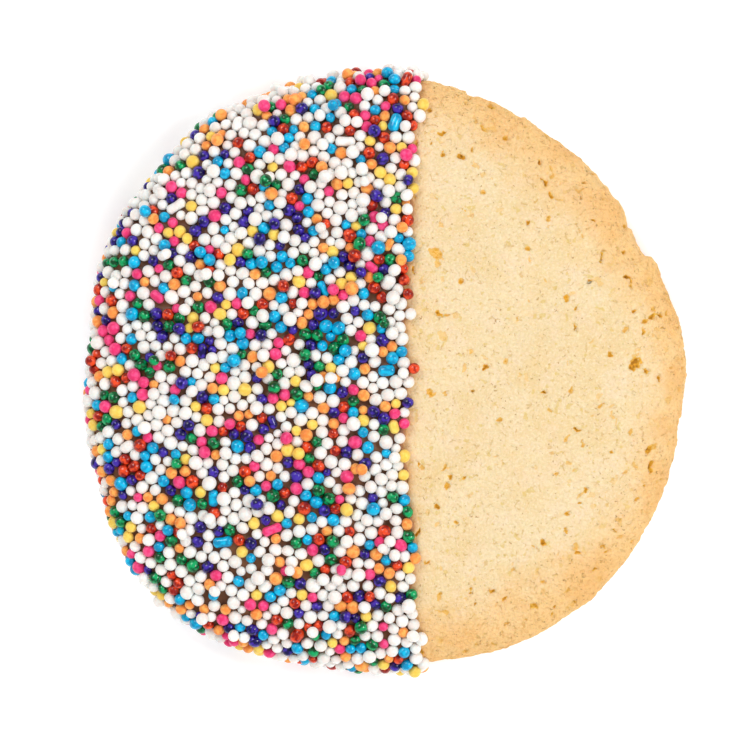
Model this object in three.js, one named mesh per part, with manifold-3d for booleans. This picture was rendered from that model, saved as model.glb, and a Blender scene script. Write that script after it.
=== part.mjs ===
// A round butter cookie whose left half is dipped in milk chocolate and rolled in nonpareils.
//
// Millimetres, +Z up. The origin is on the surface that the cookie rests on, under the middle of
// its outline. +X points to the bare half and -X to the dipped half, seen from above as in use.
//
// Two pieces: the baked biscuit, and the chocolate coating that wraps its left half, top, side
// and underside. The coating has its nonpareils fused to it, because they stand half sunk in it.
// The chocolate set on a flat sheet, so its underside is one flat foot, and the biscuit leans by
// about a degree: its left side stands on the chocolate and its right side on its own edge.

import * as THREE from "three";
import { mergeVertices } from "three/addons/utils/BufferGeometryUtils.js";
import Module from "manifold-3d";

// ---------------------------------------------------------------- driving dimensions

const BISCUIT_RADIUS = 38.2; // of the round that was cut, before it spread in the oven
const BISCUIT_HEIGHT = 10; // thickness in the middle
const WAIST_HEIGHT = 3.6; // height of its widest level above its underside
const FOOT_INSET = 2.2; // the flat underside stops this far inside the widest level
const CROWN_POWER = 4.5; // how flat the top stays before it rounds over to the side
const LEAN = 0.02; // rise of the underside for each millimetre towards the dipped side

const COAT_THICKNESS = 0.6; // chocolate over the top and the side
const COAT_GAP = 0.15; // clearance between the two solids
const COAT_FOOT_INSET = 1.6; // rounding of the chocolate where it meets the resting surface
const DIP_LINE = 3.4; // where the dipping stopped, on the middle of the top
const DIP_LINE_BOW = 1.3; // the ends of that line lie this much further to the right

const GRAIN_COUNT = 270; // the largest nonpareils, spread evenly over the coating
const GRAIN_LARGEST = 2.0; // diameter of the first one
const GRAIN_SMALLEST = 1.6; // diameter of the last one
const GRAIN_STAND = 0.52; // height of a nonpareil's centre above the chocolate, in radii
const GRAIN_TRIES = 28; // places drawn for each nonpareil, of which the emptiest is used
const GRAIN_SEED = 20;

const BARE_STEPS = 38; // steps round the bare half
const DIPPED_STEPS = 16; // steps round the half that the chocolate hides
const COAT_STEPS = 48; // steps round the coating's outside
const DEGREE = Math.PI / 180;

// Where the baked outline leaves the circle: the middle of each swelling or flat in degrees
// anticlockwise from +X, its reach to either side, and its rise in millimetres.
const LOBES = [
  { name: "lump on the right", at: 6, reach: 20, rise: 1.2 },
  { name: "notch above the lump", at: 28, reach: 9, rise: -0.8 },
  { name: "flat on the upper right", at: 52, reach: 24, rise: -0.3 },
  { name: "corner by the dip line", at: 80, reach: 9, rise: 0.4 },
  { name: "flat at the top", at: 103, reach: 14, rise: -0.5 },
  { name: "swelling on the upper left", at: 126, reach: 14, rise: 0.7 },
  { name: "swelling above the left side", at: 150, reach: 16, rise: 0.4 },
  { name: "dent on the left", at: 174, reach: 15, rise: -0.9 },
  { name: "swelling on the lower left", at: 226, reach: 36, rise: 2.6 },
  { name: "lower end of the lower right", at: 303, reach: 36, rise: 1.9 },
  { name: "upper end of the lower right", at: 335, reach: 40, rise: 1.8 },
];

// The cracks and burst bubbles in the bare top that are large enough to cut here: their middle,
// length, width, the direction of the length in degrees from +X, and depth.
const PITS = [
  { name: "burst bubble by the top", x: 10.1, y: 28.2, length: 1.8, width: 0.9, turn: -35, depth: 0.7 },
  { name: "forked crack", x: 21.5, y: 24.0, length: 2.6, width: 0.8, turn: -70, depth: 0.7 },
  { name: "short crack above the lump", x: 28.6, y: 14.9, length: 1.9, width: 0.7, turn: 80, depth: 0.6 },
  { name: "crack along the lump", x: 31.9, y: 12.4, length: 2.2, width: 0.8, turn: -5, depth: 0.7 },
  { name: "long crack, inner end", x: 34.5, y: 6.5, length: 2.2, width: 0.8, turn: 15, depth: 0.8 },
  { name: "long crack, outer end", x: 36.5, y: 7.4, length: 2.2, width: 0.7, turn: 35, depth: 0.8 },
  { name: "hole on the right", x: 32.9, y: 1.0, length: 1.9, width: 1.6, turn: 40, depth: 0.9 },
  { name: "hole below it", x: 34.7, y: -10.7, length: 1.4, width: 1.1, turn: 60, depth: 0.7 },
  { name: "lowest hole on the right", x: 35.0, y: -12.7, length: 1.8, width: 1.1, turn: 80, depth: 0.7 },
  { name: "chip by the dip line", x: 7.2, y: 15.3, length: 2.0, width: 1.7, turn: 20, depth: 0.5 },
  { name: "hole low on the right", x: 20.8, y: -22.6, length: 1.4, width: 0.9, turn: 65, depth: 0.7 },
  { name: "crack by the dip line's foot", x: 7.4, y: -31.5, length: 2.1, width: 0.7, turn: 0, depth: 0.6 },
];

// ---------------------------------------------------------------- the shape of the biscuit

const smoothHump = (share) => (Math.abs(share) < 1 ? 0.5 + 0.5 * Math.cos(Math.PI * share) : 0);

function degreesBetween(a, b) {
  return ((a - b + 540) % 360) - 180;
}

// Radius of the biscuit's widest level in a direction given in radians.
function rimRadius(angle) {
  const degrees = ((angle / DEGREE) % 360 + 360) % 360;
  return LOBES.reduce(
    (radius, lobe) => radius + lobe.rise * smoothHump(degreesBetween(degrees, lobe.at) / lobe.reach),
    BISCUIT_RADIUS,
  );
}

// The right-hand end of the flat underside, where the leaning biscuit touches down.
const TOUCH_DOWN_X = rimRadius(2 * DEGREE) - FOOT_INSET;

const undersideHeight = (x) => LEAN * (TOUCH_DOWN_X - x);

// Gentle hollows and swellings of the baked top, which fade out towards the rim.
function bakedSwell(x, y, rim) {
  const fade = 1 - Math.min(1, Math.hypot(x, y) / rim) ** 6;
  const swell = 0.16 * Math.sin(x / 4.3 + 1.1) * Math.cos(y / 5.7 - 0.4) + 0.1 * Math.sin(x / 2.6 - y / 3.1);
  return swell * fade;
}

// A point of the biscuit's skin, moved outwards by grow. Level 0 is the middle of the top, 1 the
// widest level, and 2 the edge of the flat underside, which lies at the height floorAt gives.
function skinPoint(angle, level, grow, footInset, floorAt) {
  const rim = rimRadius(angle) + grow;
  const side = Math.max(0, level - 1) * (Math.PI / 2);
  const reach = level <= 1 ? rim * level : rim - footInset * (1 - Math.cos(side));
  const x = reach * Math.cos(angle);
  const y = reach * Math.sin(angle);
  const waist = undersideHeight(x) + WAIST_HEIGHT;
  if (level <= 1) {
    const crown = (BISCUIT_HEIGHT - WAIST_HEIGHT + grow) * Math.sqrt(1 - level ** CROWN_POWER);
    return new THREE.Vector3(x, y, waist + crown + bakedSwell(x, y, rim));
  }
  const floor = floorAt(x);
  return new THREE.Vector3(x, y, floor + (waist - floor) * (1 - Math.sin(side)));
}

// Levels from the middle of the top to the edge of the underside, closer together at the rim.
function levelsOf(topRings, sideRings) {
  const levels = [];
  for (let i = 0; i <= topRings; i++) {
    levels.push(1 - (1 - i / topRings) ** 1.6);
  }
  for (let i = 1; i <= sideRings; i++) {
    levels.push(1 + i / sideRings);
  }
  return levels;
}

// A closed skin: a lathe whose points are then moved to where the biscuit's surface is.
// turnAt gives the direction of each of the lathe's steps.
function skinGeometry(levels, steps, turnAt, grow, footInset, floorAt) {
  const profile = levels.map((level) => new THREE.Vector2(level, -level));
  profile.push(new THREE.Vector2(0, -3));
  profile.reverse();
  const lathe = new THREE.LatheGeometry(profile, steps);
  const place = lathe.getAttribute("position");
  for (let i = 0; i < place.count; i++) {
    const step = Math.floor(i / profile.length) % steps;
    const level = -place.getY(i);
    const point =
      level > 2.5
        ? new THREE.Vector3(0, 0, floorAt(0))
        : skinPoint(turnAt(step), Math.max(0, level), grow, footInset, floorAt);
    place.setXYZ(i, point.x, point.y, point.z);
  }
  return lathe;
}

// ---------------------------------------------------------------- solids and booleans

const wasm = await Module();
wasm.setup();

function solidOf(geometry) {
  const bare = geometry.clone();
  bare.deleteAttribute("normal");
  bare.deleteAttribute("uv");
  const merged = mergeVertices(bare, 1e-4);
  return new wasm.Manifold(
    new wasm.Mesh({
      numProp: 3,
      vertProperties: merged.getAttribute("position").array,
      triVerts: new Uint32Array(merged.index.array),
    }),
  );
}

// The largest body of a solid, without the scraps that a cut may leave beside it.
function withoutScraps(solid) {
  return solid.decompose().reduce((most, body) => (body.volume() > most.volume() ? body : most));
}

function meshOf(name, solid, material) {
  const cut = withoutScraps(solid).getMesh();
  const geometry = new THREE.BufferGeometry();
  geometry.setAttribute("position", new THREE.BufferAttribute(new Float32Array(cut.vertProperties), 3));
  geometry.setIndex(new THREE.BufferAttribute(new Uint32Array(cut.triVerts), 1));
  geometry.computeVertexNormals();
  const mesh = new THREE.Mesh(geometry, material);
  mesh.name = name;
  return mesh;
}

// ---------------------------------------------------------------- the biscuit

// Directions of the lathe's steps: short ones round the bare half, long ones under the chocolate.
function biscuitTurn(step) {
  const bareFrom = -88 * DEGREE;
  const bareSweep = 176 * DEGREE;
  if (step < BARE_STEPS) {
    return bareFrom + (bareSweep * step) / BARE_STEPS;
  }
  const share = (step - BARE_STEPS) / DIPPED_STEPS;
  return bareFrom + bareSweep + (2 * Math.PI - bareSweep) * share;
}

function biscuitSkin(grow) {
  const floorAt = (x) => undersideHeight(x) - grow;
  return skinGeometry(levelsOf(12, 4), BARE_STEPS + DIPPED_STEPS, biscuitTurn, grow, FOOT_INSET, floorAt);
}

function topHeight(x, y) {
  const angle = Math.atan2(y, x);
  const level = Math.hypot(x, y) / rimRadius(angle);
  return skinPoint(angle, level, 0, FOOT_INSET, undersideHeight).z;
}

function pitCutter(pit) {
  const cutter = new THREE.IcosahedronGeometry(1, 0);
  cutter.scale(pit.length / 2, pit.width / 2, pit.depth);
  cutter.rotateZ(pit.turn * DEGREE);
  cutter.translate(pit.x, pit.y, topHeight(pit.x, pit.y));
  return solidOf(cutter);
}

function biscuitSolid() {
  return PITS.reduce((solid, pit) => solid.subtract(pitCutter(pit)), solidOf(biscuitSkin(0)));
}

// ---------------------------------------------------------------- the chocolate coating

const COAT_GROW = COAT_GAP + COAT_THICKNESS;

const dipLineAt = (y) => DIP_LINE + DIP_LINE_BOW * (y / BISCUIT_RADIUS) ** 2;

const coatPoint = (angle, level) => skinPoint(angle, level, COAT_GROW, COAT_FOOT_INSET, () => 0);

function coatBody() {
  const turnAt = (step) => (2 * Math.PI * step) / COAT_STEPS;
  return solidOf(skinGeometry(levelsOf(8, 3), COAT_STEPS, turnAt, COAT_GROW, COAT_FOOT_INSET, () => 0));
}

// Everything to the left of the dip line.
function dippedRegion() {
  const reach = BISCUIT_RADIUS + 8;
  const steps = 12;
  const shape = new THREE.Shape();
  shape.moveTo(-reach, -reach);
  for (let i = 0; i <= steps; i++) {
    const y = reach * ((2 * i) / steps - 1);
    shape.lineTo(dipLineAt(y), y);
  }
  shape.lineTo(-reach, reach);
  const slab = new THREE.ExtrudeGeometry(shape, { depth: 2 * BISCUIT_HEIGHT, bevelEnabled: false });
  slab.translate(0, 0, -2);
  return solidOf(slab);
}

// ---------------------------------------------------------------- the nonpareils

// Random numbers from 0 to 1 that come out the same each time.
function seededRandom(seed) {
  let state = seed;
  return () => {
    state = (Math.imul(state, 1664525) + 1013904223) >>> 0;
    return state / 4294967296;
  };
}

// Where the coating may carry a nonpareil: small patches of its top and side, with their areas.
function coatPatches() {
  const patches = [];
  const turns = 90;
  const rows = 46;
  const lastLevel = 1.72;
  let total = 0;
  for (let i = 0; i < turns; i++) {
    for (let j = 0; j < rows; j++) {
      const angle = (2 * Math.PI * (i + 0.5)) / turns;
      const level = (lastLevel * (j + 0.5)) / rows;
      const across = coatPoint(angle + Math.PI / turns, level).sub(coatPoint(angle - Math.PI / turns, level));
      const halfRow = lastLevel / rows / 2;
      const down = coatPoint(angle, level + halfRow).sub(coatPoint(angle, Math.max(0, level - halfRow)));
      total += across.cross(down).length();
      patches.push({ angle, level, turn: (2 * Math.PI) / turns, row: lastLevel / rows, total });
    }
  }
  return patches;
}

// A random point of the coating, drawn evenly over its area.
function drawPlace(patches, random) {
  const wanted = random() * patches[patches.length - 1].total;
  let low = 0;
  let high = patches.length - 1;
  while (low < high) {
    const middle = (low + high) >> 1;
    if (patches[middle].total < wanted) {
      low = middle + 1;
    } else {
      high = middle;
    }
  }
  const patch = patches[low];
  const angle = patch.angle + (random() - 0.5) * patch.turn;
  const level = Math.max(0.002, patch.level + (random() - 0.5) * patch.row);
  return { angle, level, point: coatPoint(angle, level) };
}

function outwardAt({ angle, level, point }) {
  const small = 1e-3;
  const along = coatPoint(angle + small, level).sub(point);
  const down = coatPoint(angle, level + small).sub(point);
  const outward = down.cross(along).normalize();
  return outward;
}

// The nonpareils' centres: each one takes the emptiest of a few drawn places, so that they lie
// evenly over the coating however many there are.
function grainPlaces() {
  const random = seededRandom(GRAIN_SEED);
  const patches = coatPatches();
  const placed = [];
  while (placed.length < GRAIN_COUNT) {
    const share = placed.length / (GRAIN_COUNT - 1);
    const radius = (GRAIN_LARGEST + (GRAIN_SMALLEST - GRAIN_LARGEST) * share) / 2;
    let best = null;
    for (let i = 0; i < GRAIN_TRIES; i++) {
      const place = drawPlace(patches, random);
      const { x, y, z } = place.point;
      if (x > dipLineAt(y) - radius / 2 || z < radius + 0.3) {
        continue;
      }
      const room = placed.reduce((least, other) => Math.min(least, other.point.distanceTo(place.point)), 99);
      if (!best || room > best.room) {
        best = { ...place, room };
      }
    }
    if (!best) {
      continue;
    }
    placed.push({ point: best.point, outward: outwardAt(best), radius, turn: random() * 2 * Math.PI });
  }
  return placed;
}

// An icosahedron that stands on one corner, which is sunk in the chocolate.
function grainSolid({ point, outward, radius, turn }) {
  const grain = new THREE.IcosahedronGeometry(radius, 0);
  const corner = new THREE.Vector3(-1, (1 + Math.sqrt(5)) / 2, 0).normalize();
  grain.applyQuaternion(new THREE.Quaternion().setFromUnitVectors(corner, outward));
  grain.applyQuaternion(new THREE.Quaternion().setFromAxisAngle(outward, turn));
  const centre = point.clone().addScaledVector(outward, GRAIN_STAND * radius);
  grain.translate(centre.x, centre.y, centre.z);
  return solidOf(grain);
}

function coatingSolid() {
  const chocolate = coatBody().intersect(dippedRegion());
  const covered = wasm.Manifold.union([chocolate, ...grainPlaces().map(grainSolid)]);
  return covered.subtract(solidOf(biscuitSkin(COAT_GAP)));
}

// ---------------------------------------------------------------- the part

const bakedBiscuit = new THREE.MeshStandardMaterial({ color: 0xf3d09a, roughness: 0.85, metalness: 0 });
const milkChocolate = new THREE.MeshStandardMaterial({ color: 0x7a5440, roughness: 0.45, metalness: 0 });

const cookie = new THREE.Group();
cookie.add(meshOf("biscuit", biscuitSolid(), bakedBiscuit));
cookie.add(meshOf("dipped_coating", coatingSolid(), milkChocolate));

export default cookie;
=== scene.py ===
# A round butter cookie whose left half was dipped in milk chocolate and rolled in nonpareils.
# Lengths are in millimetres until a mesh is made. +X is the bare half, -X the dipped half.

import math

import bmesh
import bpy
import numpy as np
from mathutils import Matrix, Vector, geometry, kdtree, noise


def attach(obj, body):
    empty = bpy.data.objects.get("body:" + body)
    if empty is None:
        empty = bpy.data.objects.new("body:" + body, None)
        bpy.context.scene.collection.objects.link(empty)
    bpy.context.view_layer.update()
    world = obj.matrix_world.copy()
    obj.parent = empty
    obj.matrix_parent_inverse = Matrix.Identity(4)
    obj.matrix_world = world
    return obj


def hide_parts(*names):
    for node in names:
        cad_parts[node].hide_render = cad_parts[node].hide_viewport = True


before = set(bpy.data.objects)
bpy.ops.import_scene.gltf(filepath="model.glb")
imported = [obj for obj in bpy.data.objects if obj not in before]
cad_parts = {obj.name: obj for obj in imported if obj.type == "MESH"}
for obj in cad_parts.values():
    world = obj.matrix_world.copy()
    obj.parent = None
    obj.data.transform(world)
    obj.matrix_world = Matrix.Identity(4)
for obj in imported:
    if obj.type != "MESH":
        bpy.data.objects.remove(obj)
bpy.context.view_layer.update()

# ------------------------------------------------------------------------- the baked biscuit
# One round of butter dough, cut out and baked pale, so that only its rim and underside browned.
# Butter and steam left the top finely crumbly, with pores, short cracks and burst bubbles.

BISCUIT_RADIUS, BISCUIT_HEIGHT, WAIST_HEIGHT = 38.2, 10.0, 3.6
FOOT_INSET = 2.2  # how much smaller the underside is all round
CROWN_POWER = 4.5  # a higher one makes the top flatter and its rim tighter
LEAN = 0.02  # the chocolate under the left half tilts the biscuit by this slope
TOUCH_DOWN_X = 37.5  # the biscuit's own edge stands on the table here
FARTHEST = 42  # no point of the cookie lies further than this from the middle

# Where the outline leaves the circle: degrees anticlockwise from +X, reach to either side, rise.
LOBES = [
    (6, 20, 1.2), (28, 9, -0.8), (52, 24, -0.3), (80, 9, 0.4), (103, 14, -0.5), (126, 14, 0.7),
    (150, 16, 0.4), (174, 15, -0.9), (226, 36, 2.6), (303, 36, 1.9), (335, 40, 1.8),
]  # fmt: skip

# Abrupt little steps in the outline, where one bulge of the rim ends: degrees, and how much further
# out it goes on below.
NOTCHES = [(73.5, -0.4), (61.3, 0.35), (36.5, 0.3), (30.2, 0.35), (23.4, 0.7), (-9.0, -0.3)]


def rim_radius(angle):
    degrees = np.degrees(angle)
    radius = BISCUIT_RADIUS + 0.05 * np.sin(17 * angle + 1) + 0.05 * np.sin(31 * angle + 2)
    for at, reach, rise in LOBES:
        away = np.abs((degrees - at + 180) % 360 - 180) / reach
        radius = radius + rise * np.where(away < 1, 0.5 + 0.5 * np.cos(math.pi * away), 0)
    for at, step in NOTCHES:
        away = (degrees - at + 180) % 360 - 180
        radius = radius - step / 2 * np.tanh(away / 0.3) * np.clip(1 - np.abs(away) / 5, 0, 1)
    return radius


def skin_at_level(angle, level, grow=0.0, inset=FOOT_INSET, flat_foot=False):
    """The biscuit's skin moved outwards: level 0 is the middle of the top, 1 the widest level,
    and 2 the edge of the underside. With flat_foot it goes down to the resting surface."""
    rim = rim_radius(angle) + grow
    side = np.clip(level - 1, 0, 1) * math.pi / 2
    reach = np.where(level <= 1, rim * level, rim - inset * (1 - np.cos(side)))
    x, y = reach * np.cos(angle), reach * np.sin(angle)
    underside = LEAN * (TOUCH_DOWN_X - x)
    waist = underside + WAIST_HEIGHT
    crown = (BISCUIT_HEIGHT - WAIST_HEIGHT + grow) * np.sqrt(1 - np.clip(level, 0, 1) ** CROWN_POWER)
    swell = 0.16 * np.sin(x / 4.3 + 1.1) * np.cos(y / 5.7 - 0.4) + 0.1 * np.sin(x / 2.6 - y / 3.1)
    fade = 1 - np.clip(np.hypot(x, y) / rim, 0, 1) ** 6
    floor = 0 * x if flat_foot else underside - grow
    z = np.where(level <= 1, waist + crown + swell * fade, floor + (waist - floor) * (1 - np.sin(side)))
    return np.stack([x, y, z], axis=-1)


# Levels against the share of the way from the middle of the top to the edge of the underside,
# measured along the skin in one direction, so that a grid in shares is even all over.
evenly = np.linspace(0, 1, 3000)
LEVELS = np.concatenate([1 - (1 - evenly) ** 2, 1 + evenly[1:]])
way_down = skin_at_level(np.full_like(LEVELS, 0.5), LEVELS)
strides = np.linalg.norm(np.diff(way_down, axis=0), axis=1)
SKIN_LENGTH = strides.sum()
SHARES = np.concatenate([[0], np.cumsum(strides)]) / SKIN_LENGTH


def skin(angle, share, **how):
    return skin_at_level(angle, np.interp(share, SHARES, LEVELS), **how)


def skin_frame(angle, share, **how):
    """A point of the skin with its outward normal, its downhill and sideways directions, and how
    far it lies from the middle line."""
    point = skin(angle, share, **how)
    low, high = np.clip(share - 1e-3, 0, 1), np.clip(share + 1e-3, 0, 1)
    along = skin(angle, high, **how) - skin(angle, low, **how)
    along /= np.linalg.norm(along, axis=-1, keepdims=True) + 1e-12
    around = (skin(angle + 1e-3, share, **how) - skin(angle - 1e-3, share, **how)) / 2e-3
    reach = np.linalg.norm(around, axis=-1)
    around = around / (reach[..., None] + 1e-9)
    normal = np.cross(along, around)
    normal /= np.linalg.norm(normal, axis=-1, keepdims=True) + 1e-9
    return point, np.where(share[..., None] < 2e-3, [0, 0, 1], normal), along, around, reach


def round_grid(u, v):
    """Opens a square grid out into a round one: the direction and the share of each point."""
    wide = np.abs(u) > np.abs(v)
    share = np.where(wide, u, v)
    safe = np.where(share == 0, 1, share)
    turn = np.where(wide, math.pi / 4 * v / safe, math.pi / 2 - math.pi / 4 * u / safe)
    return np.where(share < 0, turn + math.pi, turn), np.abs(share)


def grid_faces(rows, columns):
    a = (np.arange(rows - 1)[:, None] * columns + np.arange(columns - 1)).ravel()
    return np.stack([a, a + 1, a + columns + 1, a + columns], axis=-1).tolist()


def flat_fill(outline, spacing):
    """Loose points inside a flat outline, and the triangles that fill it. A corner's number counts
    the outline's points first, and then the loose ones."""
    span = np.arange(-FARTHEST, FARTHEST, spacing)
    loose = np.stack(np.meshgrid(span, span), axis=-1).reshape(-1, 2)
    loose += rng.uniform(-0.27, 0.27, loose.shape) * spacing
    x, y = loose.T[..., None]
    x1, y1, x2, y2 = *outline.T[:, None], *np.roll(outline, -1, axis=0).T[:, None]
    slope = (x2 - x1) / np.where(y2 == y1, 1, y2 - y1)
    crossings = (((y1 > y) != (y2 > y)) & (x < slope * (y - y1) + x1)).sum(axis=1)
    clear = np.hypot(x - x1, y - y1).min(axis=1) > spacing / 2
    loose = loose[(crossings % 2 == 1) & clear]
    points = [Vector(p) for p in np.concatenate([outline, loose])]
    edge = list(range(len(outline)))
    _, _, triangles, source, _, _ = geometry.delaunay_2d_cdt(points, [], [edge], 1, 1e-6)
    return loose, np.array([[source[corner][0] for corner in t] for t in triangles])


def ripple(points, size, seed=0):
    """Smooth noise from about -1 to 1 whose waves are about size millimetres long. Each seed is
    another part of the same noise."""
    places = (points / size + 11.7 * seed + 0.37).tolist()
    return np.fromiter((noise.noise(p) for p in places), float, len(places)) * 1.4


def ease(value, low, high):
    share = np.clip((value - low) / (high - low), 0, 1)
    return share * share * (3 - 2 * share)


# Cracks, burst bubbles and chips that stand out on the bare top: place, length, width, the
# direction of the length in degrees, and how deep and brown each is. The rest are strewn by chance.
PITS = [
    (7.6, 31.2, 1.0, 0.7, 30, 0.7), (10.2, 28.1, 1.5, 0.7, -35, 1.0), (16.0, 30.8, 0.9, 0.6, 60, 0.6),
    (21.0, 24.9, 1.3, 0.6, -45, 0.9), (21.9, 23.1, 1.3, 0.45, -70, 0.7), (22.9, 22.6, 1.2, 0.3, -10, 0.4),
    (7.0, 15.4, 2.0, 1.3, -30, 0.55), (3.9, 13.2, 1.6, 0.45, -38, 0.75), (28.7, 14.8, 1.9, 0.4, 88, 0.7),
    (3.0, 17.8, 0.9, 0.6, 75, 0.7), (3.1, 11.7, 1.0, 0.6, 50, 0.6), (2.9, -14.2, 1.1, 0.5, 85, 0.65),
    (4.4, -21.2, 0.9, 0.4, 80, 1.0), (6.9, -17.8, 0.9, 0.7, -15, 0.8), (7.0, -20.0, 0.8, 0.6, 0, 0.35),
    (9.6, -19.9, 1.1, 0.5, -45, 0.6), (4.7, -19.6, 0.9, 0.4, -60, 0.4), (19.1, 14.6, 0.8, 0.5, 70, 0.4),
    (32.0, 12.3, 1.6, 0.6, -8, 1.0), (32.6, 11.7, 0.8, 0.35, -55, 0.6), (34.3, 6.5, 1.3, 0.5, 20, 0.6),
    (35.4, 7.2, 1.3, 0.45, 40, 0.8), (36.4, 7.4, 1.0, 0.6, -35, 0.8), (37.2, 7.6, 1.1, 0.4, 55, 0.5),
    (7.2, 7.4, 1.0, 0.7, -50, 0.7), (7.6, 4.7, 1.3, 0.9, -30, 0.3), (33.0, 0.9, 1.9, 1.4, 40, 1.0),
    (34.4, 0.1, 0.8, 0.6, -20, 0.8), (36.2, -0.9, 1.0, 0.5, -80, 0.9), (6.0, -2.9, 1.2, 0.9, -30, 0.6),
    (15.1, -6.4, 0.8, 0.5, 0, 0.6), (21.8, -5.1, 0.8, 0.45, -50, 0.5), (28.7, -4.5, 1.1, 0.45, 70, 0.6),
    (30.5, -6.9, 1.6, 0.3, 75, 0.4), (32.4, -8.3, 1.6, 0.35, 85, 0.5), (34.8, -10.5, 1.3, 0.6, 65, 0.8),
    (35.1, -12.7, 1.8, 0.7, 85, 0.9), (4.9, -12.5, 1.0, 0.6, -10, 0.5), (10.6, -13.8, 1.1, 0.6, 70, 0.7),
    (22.5, -13.5, 0.8, 0.6, 50, 0.5), (25.8, -16.4, 1.1, 0.35, 35, 0.4), (24.0, -18.6, 0.8, 0.5, 40, 0.6),
    (20.9, -22.6, 1.1, 0.6, 65, 0.8), (25.4, -23.9, 0.7, 0.6, 0, 0.6), (7.7, -31.6, 2.1, 0.5, -8, 0.5),
]  # fmt: skip
PORES = 380
DEEPEST = 0.7  # a pit of strength 1 goes this deep
rng = np.random.default_rng(7)


def dip_line(y):
    """Where the dipping stopped, as an X for each Y."""
    ragged = 0.30 * np.sin(y / 3.1 + 2) + 0.20 * np.sin(y / 1.1 + 1) + 0.10 * np.sin(y / 0.37)
    return 2.9 + 1.7 * (y / BISCUIT_RADIUS) ** 2 + ragged


def carve(points):
    """For each point, how far it lies inside a pit, and how deep and brown that pit is."""
    pits = []
    for x, y, length, width, turn, strength in PITS:
        angle = math.atan2(y, x)
        share = float(np.interp(math.hypot(x, y) / rim_radius(angle), LEVELS, SHARES))
        pits.append((angle, share, length, width, turn, strength))
    for i in range(PORES):  # every second one stays out of the middle, where fewer show
        length = rng.uniform(0.4, 1.1)
        strength = 0.2 + 0.7 * rng.random() ** 2.5
        share = math.sqrt(rng.uniform(0.4 * (i % 2), 0.93))
        angle = rng.uniform(-1.6, 1.6)  # on the bare half
        width = length * rng.uniform(0.35, 0.8)
        pits.append((angle, share, length, width, rng.uniform(0, 180), strength))
    # Bending the places makes the edges of the pits ragged.
    warped = points + 0.25 * np.stack([ripple(points, 0.8, seed) for seed in (3, 4, 5)], axis=-1)
    warped += 0.12 * np.stack([ripple(points, 0.35, seed) for seed in (13, 14, 15)], axis=-1)
    inside, depth = np.zeros(len(points)), np.zeros(len(points))
    for angle, share, length, width, turn, strength in pits:
        at, up, along, around, _ = skin_frame(np.array([angle]), np.array([share]))
        turn = math.radians(turn) - angle
        long_way = math.cos(turn) * along[0] + math.sin(turn) * around[0]
        wide_way = np.cross(up[0], long_way)
        near = np.flatnonzero(np.abs(warped - at[0]).max(axis=1) < length)
        off = warped[near] - at[0]
        out = np.hypot(off @ long_way / (length / 2), off @ wide_way / (width / 2))
        inside[near] = np.maximum(inside[near], ease(out, 1.5, 0.4))
        depth[near] = np.maximum(depth[near], strength * ease(out, 1.5, 0.4))
    return inside, depth / np.maximum(inside, 1e-3)


def make_piece(name, points, faces, **attributes):
    mesh = bpy.data.meshes.new(name)
    mesh.from_pydata((np.asarray(points) / 1000).tolist(), [], faces)
    mesh.shade_smooth()
    for key, values in attributes.items():
        layer = mesh.attributes.new(key, "FLOAT", "POINT")
        layer.data.foreach_set("value", np.asarray(values, np.float32))
    piece = bpy.data.objects.new(name, mesh)
    bpy.context.scene.collection.objects.link(piece)
    return piece


# The top and the side are one grid, fine on the bare half and coarse under the chocolate.
columns = np.concatenate([np.linspace(-1, 0, 12)[:-1], np.linspace(0, 1, 200)])
rows = np.linspace(-1, 1, 431)
angle, share = round_grid(*np.meshgrid(columns, rows))
top, normal, *_ = skin_frame(angle, share)
top, normal, angle, share = top.reshape(-1, 3), normal.reshape(-1, 3), angle.ravel(), share.ravel()
bare = top[:, 0] > 1
relief, pit, deepness = np.zeros((3, len(top)))
pit[bare], deepness[bare] = carve(top[bare])
relief[bare] = DEEPEST * ease(pit[bare], 0.15, 1) * deepness[bare]
waves = 0.07 * ripple(top[bare], 4.0) + 0.03 * ripple(top[bare], 1.5, 1)
waves += 0.022 * ripple(top[bare], 0.6, 2)
crust = 0.12 * ripple(top[bare], 1.3, 10) + 0.10 * ripple(top[bare], 0.55, 11)
relief[bare] += waves + crust * ease(share[bare], 0.58, 0.80)
relief *= ease(share, 1.0, 0.95)  # it ends where the side meets the flat underside
top = top - normal * relief[:, None]

# The underside is flat apart from soft waves.
corner = np.arange(len(top)).reshape(len(rows), len(columns))
border = np.concatenate([corner[0], corner[1:, -1], corner[-1, -2::-1], corner[-2:0:-1, 0]])
loose, triangles = flat_fill(top[border, :2], 1.3)
place = np.concatenate([border, len(top) + np.arange(len(loose))])
below = np.column_stack([loose, LEAN * (TOUCH_DOWN_X - loose[:, 0]) + 0.1])
below[:, 2] += 0.08 * ripple(below, 3.0, 6)
faces = grid_faces(len(rows), len(columns)) + place[triangles[:, ::-1]].tolist()
skin_points = np.concatenate([top, below])

# How browned each point is: more towards the rim, on the side and under it, in soft patches. The
# browning starts nearer the rim on the right. Beside the dip line the crumb is darker: partly a
# chocolate stain, partly painted shade from the balls.
x, y, _ = skin_points.T
turn = np.degrees(np.arctan2(y, x))
near_rim = np.hypot(x, y) / rim_radius(np.arctan2(y, x))
starts = 0.71 + 0.09 * ease(np.abs(turn + 8), 45, 12) + 0.03 * ease(turn, 20, 60)
patchy = near_rim + 0.025 * ripple(skin_points, 5, 8) + 0.012 * ripple(skin_points, 1.6, 9)
browned = ease(patchy, starts, 1.04)
low = np.concatenate([ease(share, 0.88, 1.0), np.ones(len(loose))])
pit, deepness = np.concatenate([[pit, deepness], np.zeros((2, len(loose)))], axis=1)
stain_and_shade = np.exp(-np.maximum(x - dip_line(y), 0) / 0.7)

marks = {"browned": browned, "low": low, "pit": pit, "deepness": deepness, "stain_and_shade": stain_and_shade}
biscuit = make_piece("baked_biscuit", skin_points, faces, **marks)


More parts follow.
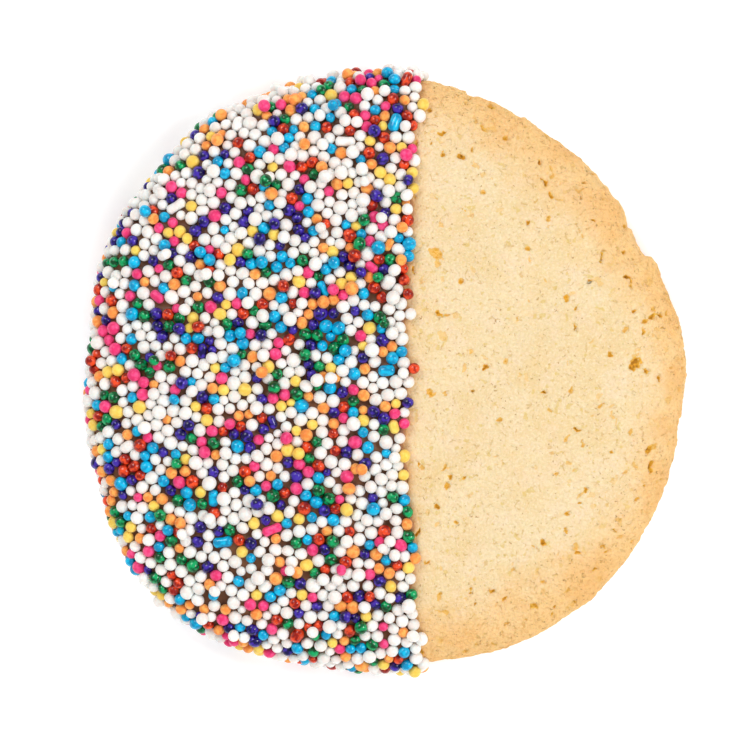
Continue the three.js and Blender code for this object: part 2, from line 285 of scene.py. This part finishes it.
def colour(code):
    """An sRGB hex colour as the linear one that shaders take."""
    parts = [int(code[i : i + 2], 16) / 255 for i in (1, 3, 5)]
    return (*(c / 12.92 if c <= 0.04045 else ((c + 0.055) / 1.055) ** 2.4 for c in parts), 1)


def add(material, kind, inputs=None, **settings):
    """Adds a shader node with its settings. An input is a value, or another node's output to link."""
    node = material.node_tree.nodes.new(kind)
    for key, value in settings.items():
        setattr(node, key, value)
    for key, value in (inputs or {}).items():
        if isinstance(value, bpy.types.NodeSocket):
            material.node_tree.links.new(value, node.inputs[key])
        else:
            node.inputs[key].default_value = value
    return node


def per(millimetres):
    """A texture's scale for waves of that length."""
    return 1000 / millimetres


# Baked butter dough: pale, matt and a little translucent. It is a fine sand of crumbs with pores
# that show browner crumb inside, thin cracks, and golden brown where the heat reached most. The
# specks and cracks under half a millimetre are only painted and bumped.
crumb = bpy.data.materials.new("butter_dough_baked_pale")
crumb.use_nodes = True
place_at = add(crumb, "ShaderNodeTexCoord").outputs["Object"]
facts = {key: add(crumb, "ShaderNodeAttribute", attribute_name=key).outputs["Fac"] for key in marks}
bends = {"smudge": 0.0009, "sand": 0.0003}  # these two also bend other patterns so far, in metres
# Each pattern's wave length in millimetres, its detail, and the range that turns it from 0 to 1.
for name, size, detail, begins, ends in [
    ("patch", 6.0, 3, 0.35, 0.7),
    ("flush", 2.6, 2, 0.45, 0.68),
    ("smudge", 1.3, 3, 0.50, 0.72),
    ("blot", 0.95, 2, 0.62, 0.70),
    ("torn", 0.5, 3, 0.30, 0.70),
    ("sand", 0.36, 2, 0.38, 0.66),
    # the sugar pattern is painted glints: lighter specks where light catches the crumb's grains
    ("sugar", 0.28, 1, 0.52, 0.72),
    ("speck", 0.42, 2, 0.66, 0.72),
    ("specks_here", 3.0, 1, 0.35, 0.60),
    ("cracks_here", 0.8, 1, 0.60, 0.66),
]:
    waviness = {"Vector": place_at, "Scale": per(size), "Detail": detail}
    pattern = add(crumb, "ShaderNodeTexNoise", waviness)
    limits = {"Value": pattern.outputs["Fac"], "From Min": begins, "From Max": ends}
    facts[name] = add(crumb, "ShaderNodeMapRange", limits, interpolation_type="SMOOTHSTEP").outputs[0]
    if name in bends:
        bend = {0: pattern.outputs["Color"], 1: [bends[name]] * 3, 2: place_at}
        bent = add(crumb, "ShaderNodeVectorMath", bend, operation="MULTIPLY_ADD")
        facts["bent by " + name] = bent.outputs[0]
pricked = {0: facts["browned"], 1: facts["specks_here"]}
facts["specks_here"] = add(crumb, "ShaderNodeMath", pricked, operation="MAXIMUM").outputs[0]
plates = {"Vector": facts["bent by smudge"], "Scale": per(1.6)}
seam = add(crumb, "ShaderNodeTexVoronoi", plates, feature="DISTANCE_TO_EDGE").outputs["Distance"]
grains = {"Vector": facts["bent by sand"], "Scale": per(0.45)}
grain = add(crumb, "ShaderNodeTexVoronoi", grains, feature="SMOOTH_F1").outputs["Distance"]

# The pits' edges are torn, and each is dark only as far in as it is deep.
tear = {0: facts["torn"], 1: 0.9, 2: 0.5}
ragged = add(crumb, "ShaderNodeMath", tear, operation="MULTIPLY_ADD").outputs[0]
ragged = add(crumb, "ShaderNodeMath", {0: facts["pit"], 1: ragged}, operation="MULTIPLY").outputs[0]
dark = add(crumb, "ShaderNodeMath", {0: ragged, 1: facts["deepness"]}, operation="MULTIPLY").outputs[0]

# Marks with clear edges: what each is cut from, the range that turns it from 0 to 1, and what else limits it.
for name, source, begins, ends, where in [
    ("crack", seam, 0.07, 0.02, "cracks_here"),
    ("pinprick", facts["speck"], 0.0, 1.0, "specks_here"),
    ("toasted", facts["patch"], 0.2, 0.9, "browned"),
    ("scorched", facts["torn"], 0.72, 0.95, "browned"),
    ("shallow", ragged, 0.34, 0.48, "deepness"),
    ("deep", dark, 0.44, 0.62, "pit"),
    ("core", dark, 0.80, 0.98, "pit"),
]:
    limits = {"Value": source, "From Min": begins, "From Max": ends}
    cut = add(crumb, "ShaderNodeMapRange", limits, interpolation_type="SMOOTHSTEP").outputs[0]
    both = {0: cut, 1: facts[where]}
    facts[name] = add(crumb, "ShaderNodeMath", both, operation="MULTIPLY").outputs[0]

# The colours from the plain crumb up: where each lies, how much of it shows, and the colour.
tone = colour("#E4CFA7")
for name, most, code in [
    ("patch", 0.8, "#E0C492"),
    ("flush", 0.5, "#E8D1B3"),
    ("smudge", 0.30, "#DEBD7B"),
    ("sand", 0.34, "#D6B981"),
    # the sugar specks are painted glints, lighter than the crumb
    ("sugar", 0.40, "#F1DFBF"),
    ("blot", 0.55, "#D3B35A"),
    ("browned", 0.95, "#EDBE7A"),
    ("toasted", 0.30, "#E3A156"),
    ("scorched", 0.40, "#CF9048"),
    ("low", 0.70, "#CA894D"),
    ("crack", 0.45, "#C69C52"),
    ("pinprick", 0.75, "#A87C44"),
    # beside the dip line: partly a chocolate stain, partly painted shade from the balls
    ("stain_and_shade", 0.75, "#D08F53"),
    ("shallow", 1.5, "#E3B049"),
    ("deep", 1.0, "#D1972A"),
    ("core", 0.8, "#A16C1D"),
]:
    shown = add(crumb, "ShaderNodeMath", {0: facts[name], 1: most}, operation="MULTIPLY").outputs[0]
    tone = add(crumb, "ShaderNodeMix", {0: shown, 6: tone, 7: colour(code)}, data_type="RGBA").outputs[2]

# The finest crumbs stand up, and the specks and cracks go down. It is all rougher where it browned.
height = facts["sand"]
for fact, amount in [
    (grain, -1.0),
    (facts["speck"], -1.2),
    (facts["crack"], -1.0),
    (facts["blot"], -0.6),
]:
    dent = {0: fact, 1: amount, 2: height}
    height = add(crumb, "ShaderNodeMath", dent, operation="MULTIPLY_ADD").outputs[0]
rougher = {0: facts["browned"], 1: 0.4, 2: 0.6}
strength = add(crumb, "ShaderNodeMath", rougher, operation="MULTIPLY_ADD").outputs[0]
bump = add(crumb, "ShaderNodeBump", {"Height": height, "Distance": 0.0001, "Strength": strength})
surface = crumb.node_tree.nodes["Principled BSDF"]
crumb.node_tree.links.new(tone, surface.inputs["Base Color"])
crumb.node_tree.links.new(bump.outputs[0], surface.inputs["Normal"])
surface.inputs["Roughness"].default_value = 0.82
surface.inputs["IOR"].default_value = 1.4
surface.inputs["Subsurface Weight"].default_value = 0.25
surface.inputs["Subsurface Radius"].default_value = (1.0, 0.6, 0.3)
surface.inputs["Subsurface Scale"].default_value = 0.0012
biscuit.data.materials.append(crumb)
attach(biscuit, "root")
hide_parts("biscuit")

# ------------------------------------------------------------------------- the nonpareils' places
# Sugar balls of about 1.6 mm that the wet chocolate held as the cookie was rolled in them. They lie
# as close as they fell, nearly in one layer. Some had stuck together in pairs in the pan, and a few
# more lie on top, each in the dip between three others.

COAT = {"grow": 0.75, "inset": 1.6, "flat_foot": True}  # the chocolate's outside
FILM = 0.04  # its inside lies this far from the biscuit's smooth skin
THIN = 2.2  # how far from the dip line it reaches its full thickness
BALLS, TWINS, PILED = 1740, 45, 28


def full_at(x, y):
    """The share of its thickness that the chocolate has there: a thin film at the dip line first."""
    away = dip_line(y) - x
    return 0.12 * np.sqrt(np.clip(away / 0.15, 0, 1)) + 0.88 * ease(away, 0, THIN)


SHARE_OF_KIND = {
    "white": 0.46,
    "purple": 0.08,
    "blue": 0.095,
    "green": 0.07,
    "orange": 0.085,
    "pink": 0.075,
    "yellow": 0.06,
    "red": 0.075,
}
up_to = np.cumsum(list(SHARE_OF_KIND.values()))
kinds = rng.permutation(np.searchsorted(up_to, np.linspace(0, 0.999, BALLS)))
radius = rng.normal(np.where(kinds == 0, 0.80, 0.76), 0.065).clip(0.58, 0.95)
twin = np.arange(0, 2 * TWINS, 2)  # each of these balls is stuck to the next one
kinds[twin + 1], radius[twin + 1] = kinds[twin], radius[twin]
apart_in_pair = radius[twin] * rng.uniform(0.3, 1.5, TWINS)

# They are thrown on the unrolled skin, each into the emptiest of a few places, and the second of a
# pair beside the first. None falls near the edge of the underside.
places = np.zeros((BALLS, 2))
for i in range(BALLS):
    tries = rng.uniform(-SKIN_LENGTH, SKIN_LENGTH, (30, 2))
    far = np.hypot(*tries.T)
    x, y, _ = skin(np.arctan2(*tries.T[::-1]), far / SKIN_LENGTH, **COAT).T
    tries = tries[(far < SKIN_LENGTH * 0.96) & (x < dip_line(y))][:3]
    if i % 2 and i < 2 * TWINS:
        tries = places[i - 1 : i] + 0.5
    room = np.linalg.norm(tries[:, None] - places[None, :i], axis=2).min(axis=1, initial=99)
    places[i] = tries[room.argmax()]
ball_u, ball_v = places.T
bed = rng.uniform(0.2, 0.5, BALLS) * radius  # how high each middle lies over the chocolate at least
stand = bed.copy()
past_dip_line = rng.uniform(-0.9, 0.6, BALLS)


def ball_frames():
    return skin_frame(np.arctan2(ball_v, ball_u), np.hypot(ball_u, ball_v) / SKIN_LENGTH, **COAT)


# Balls that overlap push each other along the skin, and up where there is no room. Each then sinks a
# little. Those past the dip line go back, and those too near the table go up the side.
for step in range(220):
    point, normal, along, around, reach = ball_frames()
    centre = point + normal * stand[:, None]
    if step % 8 == 0:
        apart = np.linalg.norm(centre[:, None] - centre[None], axis=2)
        first, second = np.nonzero(np.triu(apart < 2.8, 1))  # near enough to touch soon
        paired = (second == first + 1) & (first % 2 == 0) & (first < 2 * TWINS)
        first = np.concatenate([first[~paired], twin])
        second = np.concatenate([second[~paired], twin + 1])
    gap = centre[first] - centre[second]
    length = np.linalg.norm(gap, axis=1) + 1e-6
    overlap = np.clip(radius[first] + radius[second] - length, 0, None)
    overlap[-TWINS:] = apart_in_pair - length[-TWINS:]  # a pair keeps its own distance
    shove = gap * (overlap / length / 2)[:, None]
    move = np.zeros_like(centre)
    np.add.at(move, first, shove)
    np.add.at(move, second, -shove)
    out = np.hypot(ball_u, ball_v) + 1e-9
    outward = (move * along).sum(axis=1)
    sideways = (move * around).sum(axis=1) * out / np.maximum(reach, 1e-3)
    ball_u, ball_v = (
        ball_u + (outward * ball_u - sideways * ball_v) / out,
        ball_v + (outward * ball_v + sideways * ball_u) / out,
    )
    missing = (COAT["grow"] - FILM) * (1 - full_at(point[:, 0], point[:, 1]))
    lowest = np.maximum(bed - missing, 0.9 * radius - COAT["grow"])
    stand = np.clip(stand + (move * normal).sum(axis=1) - 0.02, lowest, 1.1 * radius)
    point, normal, *_ = ball_frames()
    ball_u -= np.clip(point[:, 0] - dip_line(point[:, 1]) - past_dip_line, 0, None)
    too_low = np.clip(radius + 0.05 - (point + normal * stand[:, None])[:, 2], 0, 3)
    shrink = 1 - too_low / (np.hypot(ball_u, ball_v) + 1e-9)
    ball_u, ball_v = ball_u * shrink, ball_v * shrink
point, normal, *_ = ball_frames()
centre = point + normal * stand[:, None]

# The piled ones: each touches three balls that lie close together on the top. It is the point that
# lies as far from the middle of each as both radii together.
while len(centre) < BALLS + PILED:
    r = rng.normal(0.78, 0.06)
    a = rng.integers(2 * TWINS, BALLS)
    b, c = np.argsort(np.linalg.norm(centre[:BALLS] - centre[a], axis=1))[1:3]
    ab, ac = centre[b] - centre[a], centre[c] - centre[a]
    ra, rb, rc = radius[[a, b, c]] + r
    ex = ab / np.linalg.norm(ab)
    ey = ac - ex * (ac @ ex)
    ey /= np.linalg.norm(ey)
    i, j, d = ac @ ex, ac @ ey, np.linalg.norm(ab)
    x = (ra**2 - rb**2 + d**2) / (2 * d)
    y = (ra**2 - rc**2 + i**2 + j**2 - 2 * i * x) / (2 * j)
    rise = ra**2 - x**2 - y**2
    if rise < 0.5 or j < 0.8 or normal[a, 2] < 0.7:
        continue
    up = np.cross(ex, ey) * np.sign(np.cross(ex, ey) @ normal[a])
    spot = centre[a] + x * ex + y * ey + math.sqrt(rise) * up
    room = (np.linalg.norm(centre - spot, axis=1) - radius - r).min()
    if room < -0.06 or spot[0] > dip_line(spot[1]) - 1.5:
        continue
    centre = np.vstack([centre, spot])
    radius = np.append(radius, r)
    kinds = np.append(kinds, rng.choice(len(SHARE_OF_KIND), p=list(SHARE_OF_KIND.values())))

# ------------------------------------------------------------------------- the milk chocolate
# Tempered milk chocolate that the left half was dipped in. It is about 0.7 mm thick, thins out to a
# ragged film at the dip line, climbs a little up each ball, and set flat under the cookie on a sheet.


def dipped_grid(rows, spacing):
    """Rows of points from the left edge of the skin to the dip line: their directions and shares."""
    low, high = np.full(len(rows), -1.0), np.full(len(rows), 1.0)
    for _ in range(40):
        middle = (low + high) / 2
        x, y, _ = skin(*round_grid(middle, rows), grow=FILM).T
        dipped = x < dip_line(y)
        low, high = np.where(dipped, middle, low), np.where(dipped, high, middle)
    u = -1 + (low + 1)[:, None] * spacing
    return round_grid(u, np.broadcast_to(rows[:, None], u.shape))


rows = np.linspace(-1, 1, 421)
angle, share = dipped_grid(rows, 1 - np.linspace(1, 0, 201) ** 1.15)
outside, outward, *_ = skin_frame(angle, share, **COAT)
inside = skin(angle, share, grow=FILM)
fullness = full_at(inside[..., 0], inside[..., 1])
outside = inside + (outside - inside) * fullness[..., None]

# It climbs up each ball in a narrow collar, and lies in soft waves between them.
tree = kdtree.KDTree(BALLS)
for i, at in enumerate(centre[:BALLS]):
    tree.insert(at, i)
tree.balance()
found = [tree.find(p)[1:] for p in outside.reshape(-1, 3).tolist()]
clear = np.array([distance - 0.95 * radius[nearest] for nearest, distance in found]).reshape(share.shape)
climb = 0.25 * np.exp(-np.clip(clear, 0, None) / 0.16)
waves = 0.06 * ripple(outside.reshape(-1, 3), 2.4, 12).reshape(share.shape)
outside = outside + outward * ((climb + waves) * fullness * ease(share, 1.0, 0.95))[..., None]

# The inside follows the biscuit, and both sheets are closed by a flat foot.
inside = skin(*dipped_grid(rows, 1 - np.linspace(1, 0, 16) ** 2), grow=FILM)
chocolate_points, chocolate_faces, thin = [], [], []
for sheet, is_outside in ((outside, True), (inside, False)):
    side = np.concatenate([sheet[0, ::-1], sheet[1:, 0], sheet[-1, 1:]])
    across = np.linspace(side[-1, 1], side[0, 1], 160)[1:-1]
    outline = np.concatenate([side[:, :2], np.column_stack([dip_line(across), across])])
    loose, triangles = flat_fill(outline, 1.3)
    x, y = np.concatenate([outline, loose]).T
    ceiling = LEAN * (TOUCH_DOWN_X - x) - FILM
    foot = np.column_stack([x, y, ceiling * (1 - full_at(x, y)) if is_outside else ceiling])
    foot[: len(side)] = side
    over = (sheet.reshape(-1, 3), grid_faces(*sheet.shape[:2]))
    for points, faces in (over, (foot, triangles.tolist())):
        already = sum(map(len, chocolate_points))
        chocolate_points.append(points)
        chocolate_faces += [[already + corner for corner in face] for face in faces]
        thin.append(np.exp((points[:, 0] - dip_line(points[:, 1])) / 0.8))
chocolate_points, thin = np.concatenate(chocolate_points), np.concatenate(thin)
chocolate = make_piece("milk_chocolate_coat", chocolate_points, chocolate_faces, thin=thin)
bm = bmesh.new()
bm.from_mesh(chocolate.data)
bmesh.ops.remove_doubles(bm, verts=bm.verts, dist=1e-6)
bmesh.ops.recalc_face_normals(bm, faces=bm.faces)
bm.to_mesh(chocolate.data)
bm.free()

# Set milk chocolate: smooth, with a satin gloss and a faint cloudy bloom. The crumb shows through
# where it is thinnest.
milk_chocolate = bpy.data.materials.new("milk_chocolate_set")
milk_chocolate.use_nodes = True
place_at = add(milk_chocolate, "ShaderNodeTexCoord").outputs["Object"]
bloom = add(milk_chocolate, "ShaderNodeTexNoise", {"Vector": place_at, "Scale": per(3.0), "Detail": 4})
grain = add(milk_chocolate, "ShaderNodeTexNoise", {"Vector": place_at, "Scale": per(0.3), "Detail": 2})
limits = {"Value": bloom.outputs["Fac"], "From Min": 0.35, "From Max": 0.7}
cloud = add(milk_chocolate, "ShaderNodeMapRange", limits, interpolation_type="SMOOTHSTEP").outputs[0]
tones = {0: cloud, 6: colour("#50301F"), 7: colour("#704A32")}
tone = add(milk_chocolate, "ShaderNodeMix", tones, data_type="RGBA").outputs[2]
thin = add(milk_chocolate, "ShaderNodeAttribute", attribute_name="thin").outputs["Fac"]
tear = {0: grain.outputs["Fac"], 1: 0.7, 2: thin}
torn = add(milk_chocolate, "ShaderNodeMath", tear, operation="MULTIPLY_ADD")
limits = {"Value": torn.outputs[0], "From Min": 0.70, "From Max": 1.30}
film = add(milk_chocolate, "ShaderNodeMapRange", limits, interpolation_type="SMOOTHSTEP").outputs[0]
tones = {0: film, 6: tone, 7: colour("#B67F55")}
tone = add(milk_chocolate, "ShaderNodeMix", tones, data_type="RGBA").outputs[2]
dents = {"Height": grain.outputs["Fac"], "Distance": 0.00004, "Strength": 0.5}
bump = add(milk_chocolate, "ShaderNodeBump", dents)
surface = milk_chocolate.node_tree.nodes["Principled BSDF"]
milk_chocolate.node_tree.links.new(tone, surface.inputs["Base Color"])
milk_chocolate.node_tree.links.new(bump.outputs[0], surface.inputs["Normal"])
surface.inputs["Roughness"].default_value = 0.40
surface.inputs["IOR"].default_value = 1.45
surface.inputs["Specular IOR Level"].default_value = 0.25
chocolate.data.materials.append(milk_chocolate)
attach(chocolate, "root")
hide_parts("dipped_coating")

# ------------------------------------------------------------------------- the nonpareils
# Sugar crystals tumbled in coloured syrup until they are round, then polished with wax. Few are
# true balls, and no two are one size.


def round_ball(corners):
    """Corners spread evenly over a unit ball by the golden angle, and the triangles between them."""
    number = np.arange(corners) + 0.5
    height = 1 - 2 * number / corners
    turn = math.pi * (1 + math.sqrt(5)) * number
    reach = np.sqrt(1 - height**2)
    unit = np.stack([np.cos(turn) * reach, np.sin(turn) * reach, height], axis=-1)
    bm = bmesh.new()
    for at in unit:
        bm.verts.new(at)
    bm.verts.index_update()
    bmesh.ops.convex_hull(bm, input=bm.verts)
    bmesh.ops.recalc_face_normals(bm, faces=bm.faces)
    triangles = np.array([[corner.index for corner in face.verts] for face in bm.faces])
    bm.free()
    return unit, triangles


# A pair becomes one grain with two round ends. Every other ball is a grain whose ends coincide.
axis = rng.normal(size=(len(centre), 3))
half = np.zeros(len(centre))
axis[twin] = centre[twin] - centre[twin + 1]
half[twin] = np.linalg.norm(axis[twin], axis=1) / 2
centre[twin] = (centre[twin] + centre[twin + 1]) / 2
axis /= np.linalg.norm(axis, axis=1, keepdims=True)
is_grain = ~np.isin(np.arange(len(centre)), twin + 1)

# Each kind's darker and lighter colour, its roughness, and how dusty with sugar it is. The two colours
# lie in random patches on every ball: partly uneven syrup, partly painted shade and painted highlights
# for light passing through the glossy sugar. White is bare sugar, and the dark ones are the glossiest.
# The kinds stand in the same order as their shares.
SYRUPS = {
    "white": ("#E9DFD9", "#E8EAE5", 0.50, 0.9),
    "purple": ("#0C0246", "#422AA6", 0.15, 0.0),
    "blue": ("#008CBC", "#00BAE6", 0.18, 0.0),
    "green": ("#00421E", "#02A05C", 0.15, 0.0),
    "orange": ("#F08E42", "#FDAE5A", 0.40, 0.4),
    "pink": ("#E0346E", "#F25088", 0.28, 0.2),
    "yellow": ("#F0C654", "#F6D468", 0.42, 0.4),
    "red": ("#8C1006", "#EA4A20", 0.15, 0.0),
}
for number, (kind, (darker_syrup_and_shade, thin, roughness, dust)) in enumerate(SYRUPS.items()):
    unit, triangles = round_ball(122 if kind == "white" else 162)
    mine = np.flatnonzero((kinds == number) & is_grain)
    axes = np.linalg.qr(rng.normal(size=(len(mine), 3, 3)))[0]
    stretch = radius[mine, None] * rng.normal(1, 0.045, (len(mine), 3)).clip(0.88, 1.14)
    shaped = np.einsum("nij,nj,nkj,mk->nmi", axes, stretch, axes, unit)
    swing = 3 * np.einsum("ni,mi->nm", axes[:, 0], unit) + rng.uniform(0, 6, (len(mine), 1))
    lump = 1 + 0.025 * np.sin(swing)
    endwards = np.einsum("ni,mi->nm", axis[mine], unit)
    waist = 0.45 * (half[mine] / radius[mine]) ** 2
    lump = lump * (1 - waist[:, None] * np.exp(-((endwards / 0.35) ** 2)))
    ends = (half[mine, None] * np.clip(endwards / 0.25, -1, 1))[..., None] * axis[mine, None]
    points = (centre[mine, None] + shaped * lump[..., None] + ends).reshape(-1, 3)
    points[:, 2] = points[:, 2].clip(0.02)  # clear of the table
    faces = (triangles[None] + (np.arange(len(mine)) * len(unit))[:, None, None]).reshape(-1, 3)
    balls = make_piece("nonpareils_" + kind, points, faces.tolist())

    # Waxed sugar in darker and lighter patches, partly uneven syrup and partly painted shade and painted
    # highlights, under a soft or bright shine, or dull with sugar dust. Each ball is a little lighter or
    # darker than the next.
    sugar = bpy.data.materials.new("sugar_panned_" + kind)
    sugar.use_nodes = True
    own = add(sugar, "ShaderNodeNewGeometry").outputs["Random Per Island"]
    place_at = add(sugar, "ShaderNodeTexCoord").outputs["Object"]
    waviness = {"Vector": place_at, "Scale": per(0.7), "Detail": 2}
    mottle = add(sugar, "ShaderNodeTexNoise", waviness).outputs["Fac"]
    limits = {"Value": mottle, "From Min": 0.40, "From Max": 0.62}
    syrup_runs_and_lit_patches = add(sugar, "ShaderNodeMapRange", limits, interpolation_type="SMOOTHSTEP").outputs[0]
    # Painted shade and painted highlight: the darker colour and the lighter, thin one, in random patches.
    tones = {0: syrup_runs_and_lit_patches, 6: colour(darker_syrup_and_shade), 7: colour(thin)}
    tone = add(sugar, "ShaderNodeMix", tones, data_type="RGBA").outputs[2]
    spread = add(sugar, "ShaderNodeMapRange", {"Value": own, "To Min": 0.91, "To Max": 1.03}).outputs[0]
    tone = add(sugar, "ShaderNodeHueSaturation", {"Value": spread, "Color": tone}).outputs[0]
    bump = add(sugar, "ShaderNodeBump", {"Height": mottle, "Distance": 0.00004, "Strength": 0.4})
    surface = sugar.node_tree.nodes["Principled BSDF"]
    sugar.node_tree.links.new(tone, surface.inputs["Base Color"])
    sugar.node_tree.links.new(bump.outputs[0], surface.inputs["Normal"])
    surface.inputs["Roughness"].default_value = roughness
    surface.inputs["IOR"].default_value = 1.5
    surface.inputs["Specular IOR Level"].default_value = 0.2 if dust else 0.5
    surface.inputs["Sheen Weight"].default_value = dust / 2
    surface.inputs["Subsurface Weight"].default_value = dust
    surface.inputs["Subsurface Radius"].default_value = (1.0, 0.9, 0.8)
    surface.inputs["Subsurface Scale"].default_value = 0.001
    balls.data.materials.append(sugar)
    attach(balls, "root")
    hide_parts("dipped_coating")

# ------------------------------------------------------------------------- the studio
# A light table under soft light from all round, with two softboxes whose reflections show on the
# balls: a large one beyond the cookie on the left, and a small one on its right. A third one in
# front is behind cloth, so it fills the shadows and leaves no reflection.

floor_mesh = bpy.data.meshes.new("floor")
floor_mesh.from_pydata([(-2, -2, 0), (2, -2, 0), (2, 2, 0), (-2, 2, 0)], [], [(0, 1, 2, 3)])
floor = bpy.data.objects.new("floor", floor_mesh)
bpy.context.scene.collection.objects.link(floor)
paper = bpy.data.materials.new("white_paper_lit_from_below")
paper.use_nodes = True
surface = paper.node_tree.nodes["Principled BSDF"]
surface.inputs["Base Color"].default_value = colour("#E6E6E6")
surface.inputs["Roughness"].default_value = 0.95
surface.inputs["Specular IOR Level"].default_value = 0.1
surface.inputs["Emission Color"].default_value = (1, 1, 1, 1)
surface.inputs["Emission Strength"].default_value = 0.35
floor_mesh.materials.append(paper)


def softbox(name, azimuth, elevation, distance, size, watts):
    """A square lamp in that direction, in degrees and metres, which faces the cookie."""
    lamp = bpy.data.lights.new(name, "AREA")
    lamp.shape, lamp.size, lamp.energy = "SQUARE", size, watts
    held = bpy.data.objects.new(name, lamp)
    a, e = math.radians(azimuth), math.radians(elevation)
    towards = Vector((math.cos(a) * math.cos(e), math.sin(a) * math.cos(e), math.sin(e)))
    held.location = towards * distance
    held.rotation_mode = "QUATERNION"
    held.rotation_quaternion = towards.to_track_quat("Z", "Y")
    bpy.context.scene.collection.objects.link(held)
    return held


softbox("softbox_left", 125, 45, 1.0, 0.44, 4.4)
softbox("softbox_right", 8, 45, 1.0, 0.30, 4.1)
softbox("softbox_front", 280, 50, 1.2, 0.80, 7.2).visible_glossy = False

world = bpy.data.worlds.new("studio")
bpy.context.scene.world = world
world.use_nodes = True
world.node_tree.nodes["Background"].inputs["Color"].default_value = (1, 1, 1, 1)
world.node_tree.nodes["Background"].inputs["Strength"].default_value = 0.40
bpy.context.scene.view_settings.view_transform = "Standard"

# The camera looks straight down through a long lens, a little off the middle of the cookie. Its
# frame is 98.7 mm wide at 5 mm over the table.
FRAME_WIDTH, DISTANCE = 0.0987, 1.2
camera = bpy.data.objects.new("camera", bpy.data.cameras.new("camera"))
camera.location = (-0.00118, -0.00053, 0.005 + DISTANCE)
camera.data.sensor_width = 36
camera.data.lens = 36 * DISTANCE / FRAME_WIDTH
camera.data.clip_end = 10
bpy.context.scene.collection.objects.link(camera)
bpy.context.scene.camera = camera
